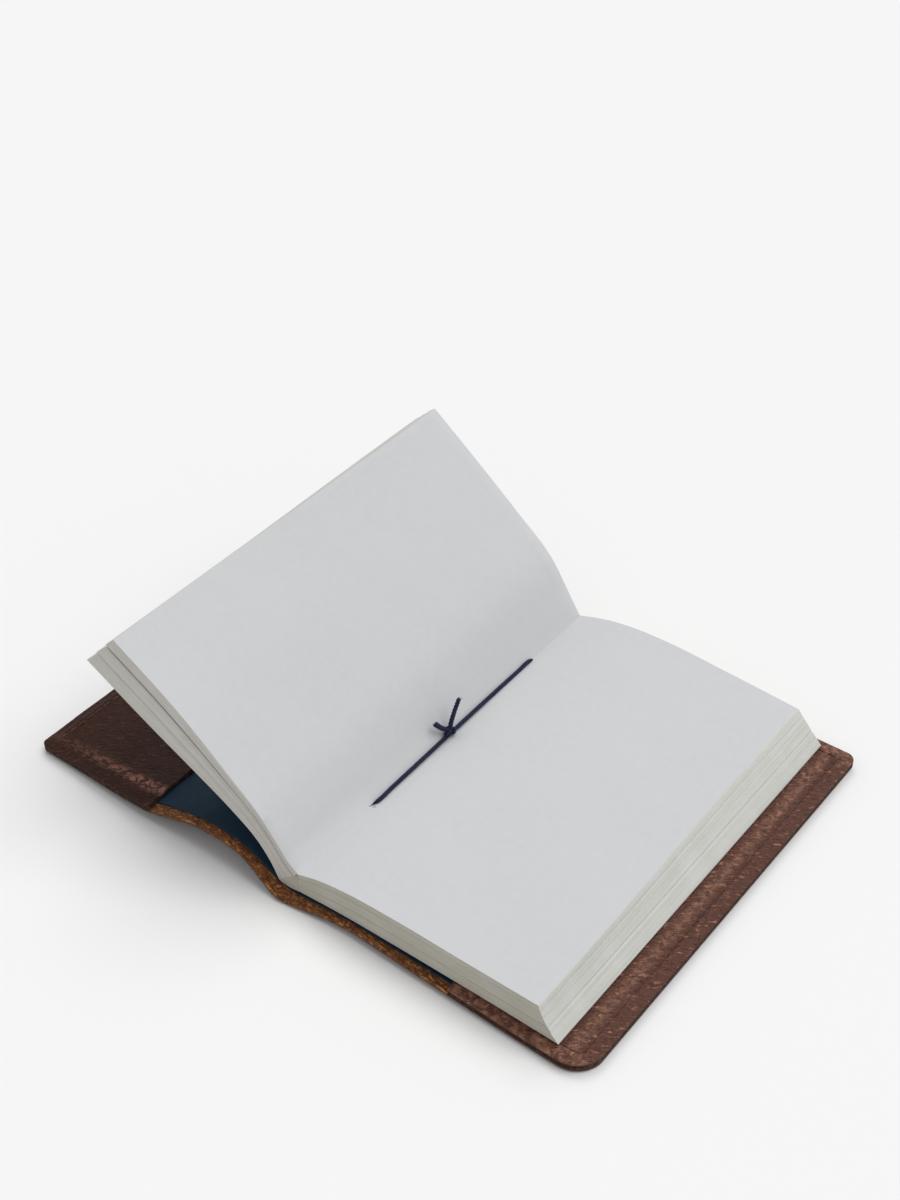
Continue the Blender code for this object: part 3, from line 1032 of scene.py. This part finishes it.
def build_flap(name, start_x, end_x, radii, material, body, nodes, stitch_nodes):
    """A pocket of leather sewn on along three sides, open at start_x."""
    first_x, last_x = max(start_x, end_x), min(start_x, end_x)
    sheet = Sheet(first_x, last_x, FLAP_LIFT, FLAP, near_edge, cover_far, radii, flap_relief, step=1.1)
    materials = [BURNISHED_EDGE, material, BURNISHED_EDGE]
    obj = sheet.build(f"{name}_flap_leather_grain", materials, -999.0, 999.0, sheet.stations())[0]
    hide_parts(*nodes)
    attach(obj, body)
    inner_u = underside.length_at_x(start_x)
    fore_u = underside.length_at_x(end_x)
    way = 1 if fore_u > inner_u else -1
    ends = (inner_u + way * 1.5, fore_u - way * STITCH_INSET)
    top = FLAP_LIFT + FLAP - GROOVE_DEPTH
    rows = stitch_row(ends, top - 0.05, False) + stitch_row(ends, 0.25, True)
    stitches = join_tubes(f"{name}_flap_stitches", rows, STITCH_THREAD)
    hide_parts(*stitch_nodes)
    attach(stitches, body)


def build_flaps():
    build_flap(
        "back", BACK_FLAP_START, BACK_EDGE, CORNERS_BACK + (0, 0), BACK_FLAP_GRAIN, "root",
        ["back_flap_leather"], ["back_flap_stitching"],
    )
    build_flap(
        "front", FRONT_FLAP_START, FRONT_EDGE, (0, 0) + CORNERS_FRONT, FRONT_FLAP_GRAIN, "front_cover",
        ["front_flap_leather"], ["front_flap_stitching"],
    )


# ---- stacks of leaves


def leaf_trims(levels, seed):
    """How far each bundle of leaves is cut back at the fore-edge, the near end and the far end."""
    draw = random.Random(seed)
    trims = []
    for k in range(levels + 1):
        inner = 0 < k < levels
        trims.append([draw.uniform(0.0, RAGGED) if inner else OUTER_LEAF_INSET for _ in range(3)])
    return trims


def stack(name, surface, length, thickness, columns, rows, seed, ends, inset=0.0, leaf=LEAF_BUNDLE):
    """A closed stack of leaves. surface(s, t, v) is the XZ point at a share s from the fold to the
    fore-edge, t through the stack from the reader's side, and v from the near end to the far one."""
    levels = max(4, round(thickness / leaf))
    trims = leaf_trims(levels, seed)
    index, vertices = {}, []
    faces, uvs, indices = [], [], []
    column, row, level = length / columns, 2 * HALF_PAGE / rows, thickness / levels

    def vertex(i, j, k):
        key = (i, j, k)
        if key not in index:
            s, v, t = i / columns, j / rows, k / levels
            fore, near, far = trims[k]
            s *= 1 - fore / length
            y = mix(-HALF_PAGE + near + inset, HALF_PAGE - far - inset, v)
            x, z = surface(s, t, v)
            index[key] = len(vertices)
            vertices.append((x, y, z))
        return index[key]

    def add(keys, kind, places):
        faces.append([vertex(*key) for key in keys])
        uvs.append(places)
        indices.append(kind)

    for i in range(columns):
        for j in range(rows):
            for k in (0, levels):
                keys = [(i, j, k), (i + 1, j, k), (i + 1, j + 1, k), (i, j + 1, k)]
                add(keys, 0, [(a * column, b * row) for a, b, _ in keys])
    for i in range(columns):
        for k in range(levels):
            for j in (0, rows):
                keys = [(i, j, k), (i, j, k + 1), (i + 1, j, k + 1), (i + 1, j, k)]
                add(keys, 1, [(a * column, c * level + seed) for a, _, c in keys])
    for j in range(rows):
        for k in range(levels):
            for i in (0, columns):
                keys = [(i, j, k), (i, j + 1, k), (i, j + 1, k + 1), (i, j, k + 1)]
                add(keys, 2, [(b * row, c * level + seed) for _, b, c in keys])
    smooth = [kind == 0 for kind in indices]
    obj = new_object(name, vertices, faces, [PAPER, ends, FORE_EDGE], uvs, indices, smooth)
    turn_outwards(obj.data)
    return obj


def turn_outwards(mesh):
    """Makes every face look out, and keeps the cut edges sharp."""
    repair = bmesh.new()
    repair.from_mesh(mesh)
    bmesh.ops.recalc_face_normals(repair, faces=repair.faces)
    repair.to_mesh(mesh)
    repair.free()
    mesh.set_sharp_from_angle(angle=math.radians(40))


left_inner = (Curve(LEFT_INNER_NEAR), Curve(LEFT_INNER_FAR))
left_outer = (Curve(LEFT_OUTER_NEAR), Curve(LEFT_OUTER_FAR))
right_top = (Curve(RIGHT_TOP_NEAR), Curve(RIGHT_TOP_FAR))
right_bottom = Curve(RIGHT_BOTTOM)


def left_surface(low, high, reach):
    def surface(s, t, v):
        share = ease(v)
        depth = mix(low, high, t)
        s *= reach
        inner = mix_points(left_inner[0].at(s), left_inner[1].at(s), share)
        outer = mix_points(left_outer[0].at(s), left_outer[1].at(s), share)
        return mix_points(inner, outer, depth)

    return surface


def right_surface(low, high):
    def surface(s, t, v):
        share = ease(v)
        depth = mix(low, high, t)
        top = mix_points(right_top[0].at(s), right_top[1].at(s), share)
        x, z = mix_points(top, right_bottom.at(s), depth)
        hollow = mix(RIGHT_EDGE_HOLLOW, 0.2, share) * s**6 * 4 * depth * (1 - depth)
        return x - hollow, z

    return surface


def wedge_surface(s, t, v):
    """The backs of the folds, fanned between the two halves of the open block."""
    apex = mix_points((-0.08, 10.5), (-0.12, 12.0), ease(v))
    low = mix_points((0.3, 3.6), (-7.55, 3.4), t)
    sag = 0.5 * 4 * t * (1 - t)
    return mix_points(apex, (low[0], low[1] - sag * s), s)


def press_down(obj):
    """Gives the right-hand pages a mesh of their own."""
    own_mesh(obj)


def build_left_pages():
    reaches = {"signature_3": 1.0, "signature_2": 0.993, "signature_1": 0.987}
    nodes = {
        "signature_3": ["signature_3_fold_left", "signature_3_leaves_left"],
        "signature_2": ["signature_2_fold", "signature_2_leaves"],
        "signature_1": ["signature_1_fold", "signature_1_leaves"],
    }
    for number, (name, (low, high)) in enumerate(LEFT_SHARES.items()):
        surface = left_surface(low, high, reaches[name])
        thickness = LEFT_THICKNESS * (high - low)
        obj = stack(
            f"{name}_left_half", surface, LEFT_LENGTH, thickness, 56, 40, 3 + number, LEFT_END, LEFT_INSET
        )
        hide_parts(*nodes[name])
        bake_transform(obj)


def build_right_pages():
    nodes = {"signature_3": "signature_3_right", "signature_4": "signature_4", "signature_5": "signature_5"}
    for number, (name, (low, high)) in enumerate(RIGHT_SHARES.items()):
        surface = right_surface(low, high)
        thickness = RIGHT_THICKNESS * (high - low)
        obj = stack(
            f"{name}_right_half", surface, RIGHT_LENGTH, thickness, 56, 40, 23 + number, SHADED_PAGE_ENDS
        )
        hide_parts(nodes[name])
        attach(obj, "root")
        press_down(obj)


def build_pages():
    build_left_pages()
    build_right_pages()
    wedge = stack("signature_folds", wedge_surface, 8.0, 9.0, 10, 24, 41, SHADED_PAGE_ENDS, leaf=0.45)
    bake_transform(wedge)


def finish_spine_threads():
    for name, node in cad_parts.items():
        if name.startswith("spine_thread"):
            node.data.materials.clear()
            node.data.materials.append(SPINE_THREAD)


def spine_thread_material():
    """Waxed thread on the CAD's own tubes, which have no UVs."""
    shader = Shader("spine_thread", specular=0.4)
    place = shader.node("ShaderNodeTexCoord").outputs["Object"]
    fibres = shader.noise(place, scale=2500.0, detail=3.0)
    colour = shader.colours(shader.band(fibres, 0.3, 0.7), (0.005, 0.006, 0.028), (0.02, 0.024, 0.09))
    rough = shader.band(fibres, 0.3, 0.7, 0.42, 0.6)
    return shader.finish(colour, rough, [(fibres, 0.00005)])


SPINE_THREAD = spine_thread_material()


# ---- stage


FLOOR_HALF = 3000.0
FLOOR_DROP = 0.0002
SKY_LIGHT = 0.46
SKY_SEEN = 0.92


def build_stage():
    half = FLOOR_HALF
    square = [(-half, -half, 0), (half, -half, 0), (half, half, 0), (-half, half, 0)]
    floor = new_object("floor", square, [[0, 1, 2, 3]], [])
    floor.location.z = -FLOOR_DROP
    shader = Shader("pale_floor", roughness=0.9, specular=0.1)
    spots = shader.noise(shader.node("ShaderNodeTexCoord").outputs["Object"], scale=3.0)
    colour = shader.colours(spots, (0.900, 0.900, 0.900), (0.906, 0.906, 0.906))
    floor.data.materials.append(shader.finish(colour))


def soft_sun(name, towards, spread, strength):
    """A broad, even light from one side, whose shadows are as soft as a softbox gives."""
    data = bpy.data.lights.new(name, "SUN")
    data.angle = math.radians(spread)
    data.energy = strength
    lamp = bpy.data.objects.new(name, data)
    lamp.location = Vector(towards)
    lamp.rotation_euler = Vector(towards).to_track_quat("Z", "Y").to_euler()
    bpy.context.scene.collection.objects.link(lamp)


def build_sky():
    """An even white sky, which looks brighter than it shines so that it joins the floor."""
    world = bpy.data.worlds.new("studio")
    world.use_nodes = True
    tree = world.node_tree
    background = tree.nodes["Background"]
    background.inputs["Color"].default_value = (1.0, 1.0, 1.0, 1.0)
    seen = tree.nodes.new("ShaderNodeLightPath").outputs["Is Camera Ray"]
    strength = tree.nodes.new("ShaderNodeMapRange")
    strength.inputs["To Min"].default_value = SKY_LIGHT
    strength.inputs["To Max"].default_value = SKY_SEEN
    tree.links.new(seen, strength.inputs["Value"])
    tree.links.new(strength.outputs["Result"], background.inputs["Strength"])
    bpy.context.scene.world = world


def build_light():
    build_sky()
    soft_sun("key", (0.45, 0.3, 1.0), 50, 1.38)
    soft_sun("rim", (-0.35, 0.45, 0.75), 35, 0.7)


LENS = 55.49
CAMERA_AT = (0.25402, -0.32072, 0.39732)
CAMERA_BACK = (0.48007, -0.60895, 0.63144)
CAMERA_AZIMUTH = 38.25
CAMERA_ROLL = -1.066


def build_camera():
    data = bpy.data.cameras.new("camera")
    data.lens = LENS
    data.sensor_width = 36.0
    data.clip_start = 0.01
    camera = bpy.data.objects.new("camera", data)
    azimuth, roll = math.radians(CAMERA_AZIMUTH), math.radians(CAMERA_ROLL)
    back = Vector(CAMERA_BACK).normalized()
    right = Vector((math.cos(azimuth), math.sin(azimuth), 0))
    right = (right - back * right.dot(back)).normalized()
    up = back.cross(right)
    turned_right = right * math.cos(roll) + up * math.sin(roll)
    turned_up = up * math.cos(roll) - right * math.sin(roll)
    axes = Matrix((turned_right, turned_up, back)).transposed().to_4x4()
    camera.matrix_world = Matrix.Translation(CAMERA_AT) @ axes
    bpy.context.scene.collection.objects.link(camera)
    bpy.context.scene.camera = camera


def main():
    bpy.context.scene.view_settings.view_transform = "Standard"
    build_stage()
    build_light()
    build_camera()
    build_cover()
    build_flaps()
    build_pages()
    build_centre_thread()
    finish_spine_threads()


main()
